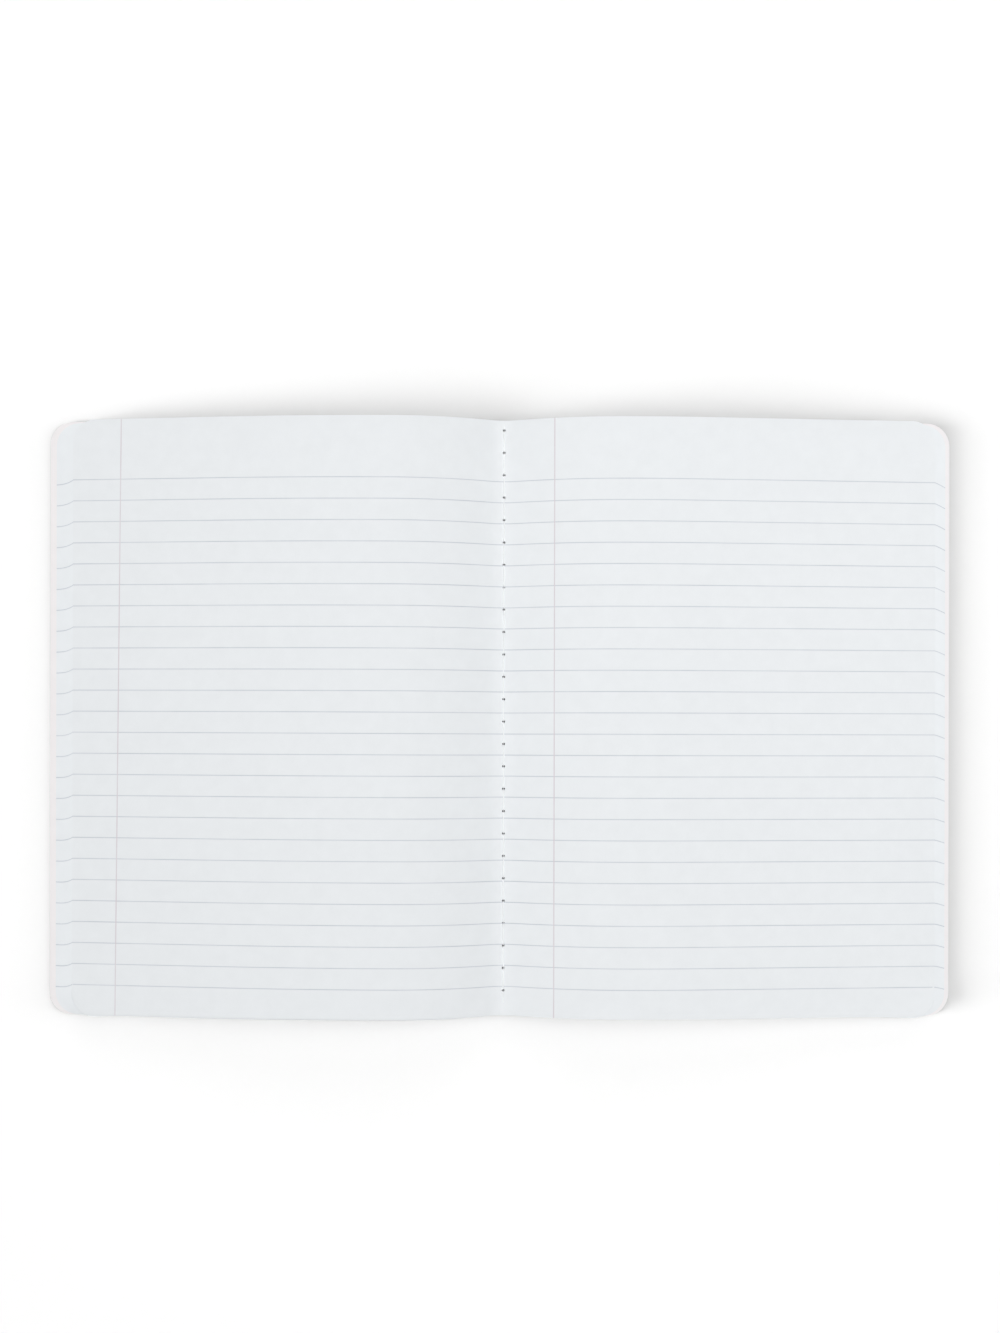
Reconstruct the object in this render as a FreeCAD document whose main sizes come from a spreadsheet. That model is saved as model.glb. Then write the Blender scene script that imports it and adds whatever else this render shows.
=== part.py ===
import FreeCAD, Part
import math
import os
import Sketcher
from FreeCAD import Vector

# A sewn composition notebook that lies open at its centre spread, in millimetres.
# The origin is the middle of its footprint, on the surface that it lies on. +X runs from the
# fold across the right-hand page, +Y towards the head of the pages and +Z up.

doc = FreeCAD.newDocument("composition_notebook")
sheet = doc.addObject("Spreadsheet::Sheet", "sizes")

DRIVING_SIZES = {
    # Leaves. The block is trimmed when it is shut, so the leaves near the middle are the short ones.
    "page_length": 247.65,
    "leaf_caliper": 0.09,
    "leaves_a_side": 50,
    "top_leaf_reach": 179.0,
    "left_fan_spread": 8.0,
    "right_fan_spread": 5.4,
    "corner_radius": 9.5,
    "fan_depth": 22.0,
    # Arch of each half: the fold springs up over a hump and falls back to the fore edge.
    "valley_radius": 12.0,
    "left_hump_reach": 48.0,
    "left_hump_rise": 12.1,
    "left_crown_end": 116.5,
    "right_hump_reach": 51.0,
    "right_hump_rise": 10.6,
    "right_crown_end": 78.5,
    # Covers and spine. The fold lies a little to the right of the middle of the covers.
    "fold_shift": 1.7,
    "board_thick": 0.8,
    "cover_margin": 2.1,
    "spine_gap": 6.4,
    "tape_wide": 32.0,
    "tape_thick": 0.25,
    # Sewing.
    "stitch_pitch": 9.3,
    "first_hole_inset": 4.1,
    "hole_diameter": 1.4,
    "thread_diameter": 0.5,
    "strand_offset": 0.32,
    "thread_seat": 0.02,
    "lock_gap": 0.3,
    "head_tail": 2.2,
    "foot_tail": 5.0,
    # Printed ruling.
    "ink_thick": 0.05,
    "rule_wide": 0.4,
    "rule_pitch": 8.73125,
    "first_rule_drop": 25.4,
    "foot_space": 10.0,
    "margin_wide": 0.45,
    "left_margin_reach": 159.6,
    "right_margin_reach": 20.8,
    "margin_slant": 0.51,
}

for row, (alias, size) in enumerate(DRIVING_SIZES.items(), start=1):
    sheet.set(f"A{row}", alias)
    sheet.set(f"B{row}", str(size))
    sheet.setAlias(f"B{row}", alias)
doc.recompute()

# Levels and places that follow from the driving sizes.
BASE_LEVEL = "(sizes.tape_thick + sizes.board_thick)"
EDGE_LEVEL = f"({BASE_LEVEL} + sizes.leaves_a_side * sizes.leaf_caliper)"
LEFT_HUMP_LEVEL = f"({EDGE_LEVEL} + sizes.left_hump_rise)"
RIGHT_HUMP_LEVEL = f"({EDGE_LEVEL} + sizes.right_hump_rise)"
LEFT_LOW_LEAF = "(sizes.top_leaf_reach + sizes.left_fan_spread)"
RIGHT_LOW_LEAF = "(sizes.top_leaf_reach + sizes.right_fan_spread)"
BOARD_REACH = f"({LEFT_LOW_LEAF} - sizes.fold_shift + sizes.cover_margin)"
STITCHES = "floor((sizes.page_length - 2 * sizes.first_hole_inset) / sizes.stitch_pitch)"
FIRST_HOLE_Y = "(sizes.page_length / 2 - sizes.first_hole_inset)"
SEWN_LENGTH = f"({STITCHES} * sizes.stitch_pitch)"
RULED_LENGTH = "(sizes.page_length - sizes.first_rule_drop - sizes.foot_space)"
RULES = f"(floor({RULED_LENGTH} / sizes.rule_pitch) + 1)"
INNER_THREAD_LEVEL = (
    f"({EDGE_LEVEL} + 2 * sizes.ink_thick + sizes.thread_seat + sizes.thread_diameter / 2)"
)
OUTER_THREAD_LEVEL = f"({BASE_LEVEL} - sizes.thread_seat - sizes.thread_diameter / 2)"
LOCK_LEVEL = f"(({BASE_LEVEL} + {EDGE_LEVEL}) / 2)"
THREAD_SIDES = 6


def value(formula):
    """The number that a formula on the sheet gives."""
    return float(sheet.evalExpression(formula))


def new_body(name):
    body = doc.addObject("PartDesign::Body", name)
    body.Label = name
    return body


def origin_feature(body, role):
    return next(f for f in body.Origin.OriginFeatures if f.Role == role)


def new_sketch(body, name, plane_role):
    sketch = body.newObject("Sketcher::SketchObject", name)
    sketch.AttachmentSupport = [(origin_feature(body, plane_role), "")]
    sketch.MapMode = "FlatFace"
    return sketch


def bind(sketch, name, formula, *reference):
    """Adds one named dimension and ties it to the sheet."""
    index = sketch.addConstraint(Sketcher.Constraint(*reference, value(formula)))
    sketch.renameConstraint(index, name)
    sketch.setExpression(f"Constraints.{name}", formula)


def lift(feature, formula):
    feature.setExpression("AttachmentOffset.Base.z", formula)


def pad(body, sketch, name, length, midplane=False, reversed_side=False):
    feature = body.newObject("PartDesign::Pad", name)
    feature.Profile = sketch
    feature.setExpression("Length", length)
    feature.SideType = "Symmetric" if midplane else "One side"
    feature.Reversed = reversed_side
    return feature


def row_along_y(body, features, name, pitch, copies):
    """Repeats features towards the tail of the pages."""
    pattern = body.newObject("PartDesign::LinearPattern", name)
    pattern.Originals = features
    pattern.Direction = (origin_feature(body, "Y_Axis"), [""])
    pattern.Reversed = True
    pattern.Mode = "Extent"
    pattern.setExpression("Length", f"{pitch} * ({copies} - 1)")
    pattern.setExpression("Occurrences", copies)
    body.Tip = pattern


def round_section(body, name, plane_role, width):
    """Sketches a many-sided hole or thread, as wide as given from corner to corner."""
    sketch = new_sketch(body, name, plane_role)
    radius = value(width) / 2
    turns = [2 * math.pi * i / THREAD_SIDES for i in range(THREAD_SIDES)]
    corners = [Vector(radius * math.cos(turn), radius * math.sin(turn)) for turn in turns]
    sides = sketch.addGeometry(
        [Part.LineSegment(corners[i - 1], corners[i]) for i in range(THREAD_SIDES)]
    )
    ring = sketch.addGeometry(Part.Circle(Vector(), Vector(0, 0, 1), radius), True)
    for i in range(THREAD_SIDES):
        sketch.addConstraint(Sketcher.Constraint("Coincident", sides[i - 1], 2, sides[i], 1))
        sketch.addConstraint(Sketcher.Constraint("PointOnObject", sides[i], 1, ring))
    for side in sides[1:]:
        sketch.addConstraint(Sketcher.Constraint("Equal", sides[0], side))
    sketch.addConstraint(Sketcher.Constraint("Coincident", ring, 3, -1, 1))
    sketch.addConstraint(Sketcher.Constraint("PointOnObject", sides[0], 2, -1))
    bind(sketch, "width", width, "Diameter", ring)
    return sketch


def half_outline(body, name, level, inner, outer):
    """Sketches the right half of a leaf or board: square at the fold, round at the fore edge."""
    sketch = new_sketch(body, name, "XY_Plane")
    lift(sketch, level)
    inner_x, outer_x = value(inner), value(outer)
    half = value("sizes.page_length / 2")
    radius = value("sizes.corner_radius")
    straight_x, straight_y = outer_x - radius, half - radius
    up = Vector(0, 0, 1)
    foot, foot_corner, fore, head_corner, head, fold = sketch.addGeometry(
        [
            Part.LineSegment(Vector(inner_x, -half), Vector(straight_x, -half)),
            Part.ArcOfCircle(
                Part.Circle(Vector(straight_x, -straight_y), up, radius), -math.pi / 2, 0
            ),
            Part.LineSegment(Vector(outer_x, -straight_y), Vector(outer_x, straight_y)),
            Part.ArcOfCircle(
                Part.Circle(Vector(straight_x, straight_y), up, radius), 0, math.pi / 2
            ),
            Part.LineSegment(Vector(straight_x, half), Vector(inner_x, half)),
            Part.LineSegment(Vector(inner_x, half), Vector(inner_x, -half)),
        ]
    )
    for before, after in ((foot, foot_corner), (foot_corner, fore), (fore, head_corner)):
        sketch.addConstraint(Sketcher.Constraint("Tangent", before, 2, after, 1))
    sketch.addConstraint(Sketcher.Constraint("Tangent", head_corner, 2, head, 1))
    sketch.addConstraint(Sketcher.Constraint("Coincident", head, 2, fold, 1))
    sketch.addConstraint(Sketcher.Constraint("Coincident", fold, 2, foot, 1))
    sketch.addConstraint(Sketcher.Constraint("Horizontal", foot))
    sketch.addConstraint(Sketcher.Constraint("Horizontal", head))
    sketch.addConstraint(Sketcher.Constraint("Vertical", fore))
    sketch.addConstraint(Sketcher.Constraint("Equal", foot_corner, head_corner))
    sketch.addConstraint(Sketcher.Constraint("Symmetric", fold, 1, fold, 2, -1))
    bind(sketch, "corner", "sizes.corner_radius", "Radius", foot_corner)
    bind(sketch, "length", "sizes.page_length", "DistanceY", fold, 2, fold, 1)
    bind(sketch, "inner", inner, "DistanceX", -1, 1, fold, 1)
    bind(sketch, "outer", outer, "DistanceX", -1, 1, fore, 1)
    return sketch


def arch_section(body, name, raised):
    """Sketches the block's section: two humped halves that meet in the rounded valley of the fold.

    raised lifts the upper side alone, as a film of ink on the page lies.
    """
    sketch = new_sketch(body, name, "XZ_Plane")
    reach = value("sizes.top_leaf_reach")
    base, edge = value(BASE_LEVEL), value(EDGE_LEVEL) + value(raised)
    valley = value("sizes.valley_radius")

    def half_points(side, hump_reach, hump_rise, crown_end):
        """Arc centres and tangent points of one half, worked out from its hump."""
        shoulder = (hump_reach**2 + hump_rise**2) / (2 * hump_rise) - valley
        steep = math.asin(hump_reach / (shoulder + valley))
        top = edge + hump_rise
        crown_run, slope_run = crown_end - hump_reach, reach - crown_end
        half_slope = 0
        for _ in range(6):
            half_slope = hump_rise / (crown_run + 2 * slope_run / (1 - half_slope**2))
        fall = 2 * math.atan(half_slope)
        crown = crown_run / math.sin(fall)
        return {
            "shoulder_centre": Vector(side * hump_reach, top - shoulder),
            "shoulder": shoulder,
            "steep": steep,
            "crown_centre": Vector(side * hump_reach, top - crown),
            "crown": crown,
            "fall": fall,
            "slope_start": Vector(
                side * (hump_reach + crown * math.sin(fall)), top - crown * (1 - math.cos(fall))
            ),
        }

    left = half_points(
        -1,
        value("sizes.left_hump_reach"),
        value("sizes.left_hump_rise"),
        value("sizes.left_crown_end"),
    )
    right = half_points(
        1,
        value("sizes.right_hump_reach"),
        value("sizes.right_hump_rise"),
        value("sizes.right_crown_end"),
    )
    up = Vector(0, 0, 1)
    crest = math.pi / 2
    bottom = 3 * math.pi / 2

    def arc(centre, radius, start, end):
        return Part.ArcOfCircle(Part.Circle(centre, up, radius), start, end)

    fore_left, slope_left, crown_left, shoulder_left, fold = sketch.addGeometry(
        [
            Part.LineSegment(Vector(-reach, base), Vector(-reach, edge)),
            Part.LineSegment(Vector(-reach, edge), left["slope_start"]),
            arc(left["crown_centre"], left["crown"], crest, crest + left["fall"]),
            arc(left["shoulder_centre"], left["shoulder"], crest - left["steep"], crest),
            arc(
                Vector(0, edge + valley),
                valley,
                bottom - left["steep"],
                bottom + right["steep"],
            ),
        ]
    )
    shoulder_right, crown_right, slope_right, fore_right, underside = sketch.addGeometry(
        [
            arc(right["shoulder_centre"], right["shoulder"], crest, crest + right["steep"]),
            arc(right["crown_centre"], right["crown"], crest - right["fall"], crest),
            Part.LineSegment(right["slope_start"], Vector(reach, edge)),
            Part.LineSegment(Vector(reach, edge), Vector(reach, base)),
            Part.LineSegment(Vector(reach, base), Vector(-reach, base)),
        ]
    )
    for first, first_end, second, second_end in (
        (underside, 2, fore_left, 1),
        (fore_left, 2, slope_left, 1),
        (slope_right, 2, fore_right, 1),
        (fore_right, 2, underside, 1),
    ):
        sketch.addConstraint(
            Sketcher.Constraint("Coincident", first, first_end, second, second_end)
        )
    for first, first_end, second, second_end in (
        (slope_left, 2, crown_left, 2),
        (crown_left, 1, shoulder_left, 2),
        (shoulder_left, 1, fold, 1),
        (fold, 2, shoulder_right, 2),
        (shoulder_right, 1, crown_right, 2),
        (crown_right, 1, slope_right, 1),
    ):
        sketch.addConstraint(Sketcher.Constraint("Tangent", first, first_end, second, second_end))
    sketch.addConstraint(Sketcher.Constraint("Vertical", fore_left))
    sketch.addConstraint(Sketcher.Constraint("Vertical", fore_right))
    sketch.addConstraint(Sketcher.Constraint("Horizontal", underside))
    sketch.addConstraint(Sketcher.Constraint("Vertical", crown_left, 3, crown_left, 1))
    sketch.addConstraint(Sketcher.Constraint("Vertical", crown_right, 3, crown_right, 2))
    sketch.addConstraint(Sketcher.Constraint("PointOnObject", fold, 3, -2))
    bind(sketch, "base", BASE_LEVEL, "DistanceY", -1, 1, underside, 1)
    bind(sketch, "left_reach", "sizes.top_leaf_reach", "DistanceX", fore_left, 1, -1, 1)
    bind(sketch, "right_reach", "sizes.top_leaf_reach", "DistanceX", -1, 1, fore_right, 1)
    bind(sketch, "left_edge", f"{EDGE_LEVEL} + {raised}", "DistanceY", -1, 1, fore_left, 2)
    bind(sketch, "right_edge", f"{EDGE_LEVEL} + {raised}", "DistanceY", -1, 1, fore_right, 1)
    bind(sketch, "left_hump_x", "sizes.left_hump_reach", "DistanceX", crown_left, 1, -1, 1)
    bind(sketch, "right_hump_x", "sizes.right_hump_reach", "DistanceX", -1, 1, crown_right, 2)
    bind(sketch, "left_hump_z", f"{LEFT_HUMP_LEVEL} + {raised}", "DistanceY", -1, 1, crown_left, 1)
    bind(
        sketch, "right_hump_z", f"{RIGHT_HUMP_LEVEL} + {raised}", "DistanceY", -1, 1, crown_right, 2
    )
    bind(sketch, "left_crown_end", "sizes.left_crown_end", "DistanceX", crown_left, 2, -1, 1)
    bind(sketch, "right_crown_end", "sizes.right_crown_end", "DistanceX", -1, 1, crown_right, 1)
    bind(sketch, "valley", "sizes.valley_radius", "Radius", fold)
    bind(
        sketch,
        "valley_centre",
        f"{EDGE_LEVEL} + {raised} + sizes.valley_radius",
        "DistanceY",
        -1,
        1,
        fold,
        3,
    )
    return sketch


def fan_leaves(body, name, low_reach, turn):
    """Fanned fore edge of one half, from the longest leaf up to the shortest one."""
    fan_root = "(sizes.top_leaf_reach - sizes.fan_depth)"
    leaves = [
        half_outline(body, f"{name}_lowest_leaf", BASE_LEVEL, fan_root, low_reach),
        half_outline(body, f"{name}_top_leaf", EDGE_LEVEL, fan_root, "sizes.top_leaf_reach"),
    ]
    for leaf in leaves:
        leaf.AttachmentOffset.Rotation = FreeCAD.Rotation(Vector(0, 0, 1), turn)
    fan = body.newObject("PartDesign::AdditiveLoft", name)
    fan.Profile = leaves[0]
    fan.Sections = leaves[1:]
    fan.Ruled = True


def make_pages():
    """The sewn block of leaves as one solid, with its fore edges fanned and its fold pierced."""
    body = new_body("pages")
    arch = pad(
        body, arch_section(body, "arch_section", "0"), "arch", "sizes.page_length", midplane=True
    )
    doc.recompute()
    reach = value("sizes.top_leaf_reach")
    fore_corners = [
        f"Edge{number}"
        for number, edge in enumerate(arch.Shape.Edges, start=1)
        if abs(abs(edge.CenterOfMass.x) - reach) < edge.Length / 100
        and edge.BoundBox.YLength < edge.Length / 100
    ]
    corners = body.newObject("PartDesign::Fillet", "leaf_corners")
    corners.Base = (arch, fore_corners)
    corners.setExpression("Radius", "sizes.corner_radius")
    fan_leaves(body, "left_fan", LEFT_LOW_LEAF, 180)
    fan_leaves(body, "right_fan", RIGHT_LOW_LEAF, 0)
    pierce_fold(body)
    body.setExpression("Placement.Base.x", "sizes.fold_shift")
    return body


def pierce_fold(body):
    """Needle holes through every leaf, in a row down the fold."""
    sketch = round_section(body, "needle_hole_outline", "XY_Plane", "sizes.hole_diameter")
    sketch.setExpression("AttachmentOffset.Base.y", FIRST_HOLE_Y)
    solid_before = body.Tip
    pocket = body.newObject("PartDesign::Pocket", "needle_hole")
    pocket.Profile = sketch
    pocket.Type = "ThroughAll"
    pocket.Reversed = True
    doc.recompute()
    if not pocket.Shape.Volume < solid_before.Shape.Volume:
        raise RuntimeError("the needle hole cuts nothing")
    row_along_y(body, [pocket], "needle_holes", "sizes.stitch_pitch", f"{STITCHES} + 1")


def make_board(name, turn):
    """One stiff cover board, flush with the leaves at head and tail. turn puts it on its side."""
    body = new_body(name)
    outline = half_outline(
        body, f"{name}_outline", "sizes.tape_thick", "sizes.spine_gap / 2", BOARD_REACH
    )
    pad(body, outline, f"{name}_board", "sizes.board_thick")
    body.Placement = FreeCAD.Placement(Vector(), FreeCAD.Rotation(Vector(0, 0, 1), turn))
    return body


def make_tape():
    """Cloth tape under the spine, glued to the outside of both boards."""
    body = new_body("spine_tape")
    sketch = new_sketch(body, "tape_outline", "XY_Plane")
    half_x, half_y = value("sizes.tape_wide / 2"), value("sizes.page_length / 2")
    corners = [
        Vector(-half_x, -half_y),
        Vector(half_x, -half_y),
        Vector(half_x, half_y),
        Vector(-half_x, half_y),
    ]
    sides = [
        sketch.addGeometry(Part.LineSegment(corners[i - 1], corners[i])) for i in range(4)
    ]
    for i in range(4):
        sketch.addConstraint(Sketcher.Constraint("Coincident", sides[i - 1], 2, sides[i], 1))
    sketch.addConstraint(Sketcher.Constraint("Vertical", sides[0]))
    sketch.addConstraint(Sketcher.Constraint("Horizontal", sides[1]))
    sketch.addConstraint(Sketcher.Constraint("Vertical", sides[2]))
    sketch.addConstraint(Sketcher.Constraint("Horizontal", sides[3]))
    sketch.addConstraint(Sketcher.Constraint("Symmetric", sides[1], 1, sides[3], 1, -1, 1))
    bind(sketch, "width", "sizes.tape_wide", "DistanceX", sides[1], 1, sides[1], 2)
    bind(sketch, "length", "sizes.page_length", "DistanceY", sides[2], 1, sides[2], 2)
    pad(body, sketch, "tape", "sizes.tape_thick")
    return body


def stitch(body, name, along, depth, run):
    """One lock stitch: down into its hole, under the lock, up and along to the next hole.

    along is how far its hole lies from the body's origin, towards the tail.
    """
    path = new_sketch(body, f"{name}_path", "YZ_Plane")
    path.setExpression("AttachmentOffset.Base.x", f"-({along})")
    offset, low, length = value("sizes.strand_offset"), value(depth), value(run)
    points = [
        Vector(offset, 0),
        Vector(offset, -low),
        Vector(-offset, -low),
        Vector(-offset, 0),
        Vector(-offset - length, 0),
    ]
    down, lock, rise, along_fold = path.addGeometry(
        [Part.LineSegment(start, end) for start, end in zip(points, points[1:])]
    )
    for first, second in ((down, lock), (lock, rise), (rise, along_fold)):
        path.addConstraint(Sketcher.Constraint("Coincident", first, 2, second, 1))
    path.addConstraint(Sketcher.Constraint("Vertical", down))
    path.addConstraint(Sketcher.Constraint("Horizontal", lock))
    path.addConstraint(Sketcher.Constraint("Vertical", rise))
    path.addConstraint(Sketcher.Constraint("Horizontal", along_fold))
    path.addConstraint(Sketcher.Constraint("PointOnObject", down, 1, -1))
    path.addConstraint(Sketcher.Constraint("PointOnObject", rise, 2, -1))
    bind(path, "offset", "sizes.strand_offset", "DistanceX", -1, 1, down, 1)
    bind(path, "spread", "2 * sizes.strand_offset", "DistanceX", lock, 2, lock, 1)
    bind(path, "lock_depth", depth, "DistanceY", down, 2, down, 1)
    bind(path, "run", run, "DistanceX", along_fold, 2, along_fold, 1)
    section = round_section(body, f"{name}_section", "XY_Plane", "sizes.thread_diameter")
    section.setExpression("AttachmentOffset.Base.y", f"sizes.strand_offset - ({along})")
    pipe = body.newObject("PartDesign::AdditivePipe", name)
    pipe.Profile = section
    pipe.Spine = path
    pipe.Mode = "Binormal"
    pipe.Binormal = Vector(1, 0, 0)
    pipe.Transition = "Right corner"
    return pipe


def make_thread(name, depth, level, turn):
    """A row of lock stitches down the fold. turn = 180 puts it under the leaves, looking up."""
    body = new_body(name)
    between = "sizes.stitch_pitch - 2 * sizes.strand_offset"
    first = stitch(body, f"{name}_stitch", "0", depth, between)
    row_along_y(body, [first], f"{name}_row", "sizes.stitch_pitch", STITCHES)
    stitch(body, f"{name}_last", SEWN_LENGTH, depth, "sizes.foot_tail")
    start = round_section(body, f"{name}_start", "XZ_Plane", "sizes.thread_diameter")
    lift(start, "-sizes.strand_offset")
    pad(body, start, f"{name}_head_tail", "sizes.head_tail", reversed_side=True)
    body.Placement = FreeCAD.Placement(Vector(), FreeCAD.Rotation(Vector(0, 1, 0), turn))
    body.setExpression("Placement.Base.x", "sizes.fold_shift")
    body.setExpression("Placement.Base.y", FIRST_HOLE_Y)
    body.setExpression("Placement.Base.z", level)
    return body


def ink_film(body, name, lower, length, shift="0"):
    """A film of ink that follows the arch of the pages. lower is how far it lies above them.

    Returns the features that make it, the last one being the film itself.
    """
    over = arch_section(body, f"{name}_upper_side", f"({lower} + sizes.ink_thick)")
    under = arch_section(body, f"{name}_lower_side", lower)
    for sketch in (over, under):
        lift(sketch, shift)
    raised = pad(body, over, f"{name}_raised", length, midplane=True)
    doc.recompute()
    film = body.newObject("PartDesign::Pocket", name)
    film.Profile = under
    film.SideType = "Symmetric"
    film.setExpression("Length", f"2 * {length}")
    doc.recompute()
    if not film.Shape.Volume < raised.Shape.Volume / 10:
        raise RuntimeError(f"{name} isn't a thin film")
    return [raised, film]


def make_ruled_lines():
    """Ruling that runs on over both pages: thin bands that follow the arch of the leaves."""
    body = new_body("ruled_lines")
    first_y = "(sizes.page_length / 2 - sizes.first_rule_drop)"
    first_line = ink_film(body, "first_line", "0", "sizes.rule_wide", f"-{first_y}")
    row_along_y(body, first_line, "ruling", "sizes.rule_pitch", RULES)
    body.setExpression("Placement.Base.x", "sizes.fold_shift")
    return body


def make_margin_lines():
    """One margin line a page, from head to tail, printed over the ruling."""
    film_body = new_body("margin_film")
    ink_film(film_body, "margin_ink", "sizes.ink_thick", "sizes.page_length")
    strips = []
    for name, x, slant in (
        ("left_margin", -value("sizes.left_margin_reach"), -value("sizes.margin_slant")),
        ("right_margin", value("sizes.right_margin_reach"), 0),
    ):
        strip = doc.addObject("Part::Box", name)
        strip.setExpression("Length", "sizes.margin_wide")
        strip.setExpression("Width", "2 * sizes.page_length")
        strip.setExpression("Height", f"{LEFT_HUMP_LEVEL} + {RIGHT_HUMP_LEVEL}")
        middle = Vector(-value("sizes.margin_wide / 2"), -value("sizes.page_length"))
        turned = FreeCAD.Placement(Vector(x, 0), FreeCAD.Rotation(Vector(0, 0, 1), slant))
        strip.Placement = turned.multiply(FreeCAD.Placement(middle, FreeCAD.Rotation()))
        strips.append(strip)
    both_strips = doc.addObject("Part::MultiFuse", "margin_strips")
    both_strips.Shapes = strips
    lines = doc.addObject("Part::Common", "margin_lines")
    lines.Label = "margin_lines"
    lines.Base = film_body
    lines.Tool = both_strips
    lines.setExpression("Placement.Base.x", "sizes.fold_shift")
    return lines


def check_and_export(parts):
    doc.recompute()
    for item in doc.Objects:
        if {"Invalid", "Error"} & set(item.State):
            raise RuntimeError(f"{item.Name} failed: {item.State}")
    os.makedirs("parts", exist_ok=True)
    for part in parts:
        if part.Shape.isNull() or not part.Shape.isValid():
            raise RuntimeError(f"{part.Label} has no valid shape")
        solids = len(part.Shape.Solids)
        print(f"{part.Label}: {solids} solids, {part.Shape.Volume:.1f} mm3")
        part.Shape.exportStep(os.path.join("parts", f"{part.Label}.step"))


check_and_export(
    [
        make_pages(),
        make_board("front_cover", 180),
        make_board("back_cover", 0),
        make_tape(),
        make_thread(
            "inner_thread",
            f"({INNER_THREAD_LEVEL} - {LOCK_LEVEL} - sizes.lock_gap / 2 - sizes.thread_diameter / 2)",
            INNER_THREAD_LEVEL,
            0,
        ),
        make_thread(
            "outer_thread",
            f"({LOCK_LEVEL} - {OUTER_THREAD_LEVEL} - sizes.lock_gap / 2 - sizes.thread_diameter / 2)",
            OUTER_THREAD_LEVEL,
            180,
        ),
        make_ruled_lines(),
        make_margin_lines(),
    ]
)
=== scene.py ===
import bisect
import math
import random

import bmesh
import bpy
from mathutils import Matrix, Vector


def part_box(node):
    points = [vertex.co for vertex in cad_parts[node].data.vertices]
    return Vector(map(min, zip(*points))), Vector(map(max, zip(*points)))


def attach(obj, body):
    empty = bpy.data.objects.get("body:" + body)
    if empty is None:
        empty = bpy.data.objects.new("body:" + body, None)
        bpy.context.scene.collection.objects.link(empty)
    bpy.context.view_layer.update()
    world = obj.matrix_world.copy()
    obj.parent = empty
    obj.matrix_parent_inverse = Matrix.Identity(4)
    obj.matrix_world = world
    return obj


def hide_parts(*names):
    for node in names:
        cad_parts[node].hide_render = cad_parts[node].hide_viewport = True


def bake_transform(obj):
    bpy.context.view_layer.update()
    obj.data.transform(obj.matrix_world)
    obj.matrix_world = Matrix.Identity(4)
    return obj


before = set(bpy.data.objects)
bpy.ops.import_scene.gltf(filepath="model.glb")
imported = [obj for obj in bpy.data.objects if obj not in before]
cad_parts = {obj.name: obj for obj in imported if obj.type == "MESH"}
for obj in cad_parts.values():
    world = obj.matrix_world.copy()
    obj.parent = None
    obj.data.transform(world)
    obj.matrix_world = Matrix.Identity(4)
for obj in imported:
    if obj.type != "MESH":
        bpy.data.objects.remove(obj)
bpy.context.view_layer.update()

# An open composition notebook, seen from straight above on a white studio table.
# Lengths are in metres. +X runs over the right page, +Y to the head of the pages, +Z up.

MM = 0.001

# Sizes read from the frame.
PAGES_LOW, PAGES_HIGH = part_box("pages")
BOARD_LOW, BOARD_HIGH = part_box("back_cover")
TAPE_LOW, TAPE_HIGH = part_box("spine_tape")
THREAD_LOW, THREAD_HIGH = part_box("inner_thread")
HALF_LENGTH = PAGES_HIGH.y
BASE_LEVEL = PAGES_LOW.z
FOLD_X = (THREAD_LOW.x + THREAD_HIGH.x) / 2
LOW_LEAF_REACH = {-1: FOLD_X - PAGES_LOW.x, 1: PAGES_HIGH.x - FOLD_X}

# Leaves. Fifty folded sheets cross the fold, and each is a leaf on both sides. In what
# follows x and a are counted from the fold, and pieces are set on the fold when they are done.
# Side -1 is the left half, side 1 the right half.
SHEETS = 50
CALIPER = 0.09 * MM
SHEET_THICK = 0.078 * MM
TOP_LEAF_REACH = 179 * MM
CORNER_RADIUS = 9.5 * MM
VALLEY_RADIUS = 12 * MM
LEFT_HUMP = {"reach": 48 * MM, "rise": 12.1 * MM, "crown_end": 116.5 * MM}
RIGHT_HUMP = {"reach": 51 * MM, "rise": 10.6 * MM, "crown_end": 78.5 * MM}

# Rounds in which a hump's slope is found, steps along a sheet, and its rows of points as
# shares of half its length, closer together at the tail where corners curl.
HUMP_ROUNDS = 6
VALLEY_STEPS, SHOULDER_STEPS, CROWN_STEPS, SLOPE_STEPS, CORNER_STEPS = 5, 12, 8, 6, 7
SHEET_ROWS = (-1.0, -0.975, -0.95, -0.925, -0.905, 0.0, 1.0)
SHARP_ANGLE = math.radians(35)

# Small disorder of a used block: uneven gaps between the leaves, slipped leaves and tail
# corners that curl up.
GAP_LEAST = 0.35
GAP_VARIES = 2.2
TOP_GAPS = {-1: 8.0, 1: 1.0}
GAP_SEEDS = {-1: 3, 1: 5}
TAIL_TRIM = 0.65 * MM
TAIL_SLIP = 0.62 * MM
SLIP_CORNER_START = 2.5 * CORNER_RADIUS
SLIP_CORNER_RUN = 1.2 * CORNER_RADIUS
SLIP_INNER_RUN = 30 * MM
SLIP_OUTER_RUN = 60 * MM
CORNER_CURL = {-1: 1.4 * MM, 1: 1.9 * MM}
CURLED_LEAVES = 2
CURL_START = 7 * MM
CURL_RUN = 7 * MM

# Boards. Handling has pressed their outer edges a little wider than the clean cut.
BOARD_WEAR = 0.4 * MM
BOARD_CORNER_STEPS = 8
BOARD_SOFT_EDGE = 0.18 * MM
BOARD_RIM_ANGLE = math.radians(60)

# Spine tape. It lies flat, with its columns close together near the fold and farther apart beyond
# the marks.
TAPE_BEND_STEP = 0.4 * MM
TAPE_BEND_MARKS = 21
TAPE_FLAT_STEPS = 6
TAPE_ROWS = 16
TAPE_SOFT_EDGE = 0.06 * MM
TAPE_EDGE_WIDE = 0.01 * MM
TAPE_THREAD_GAP = 0.35 * MM
# Bands that Blender's wave texture draws in a metre at a scale of 1.
WAVE_BANDS = 3.2

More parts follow.
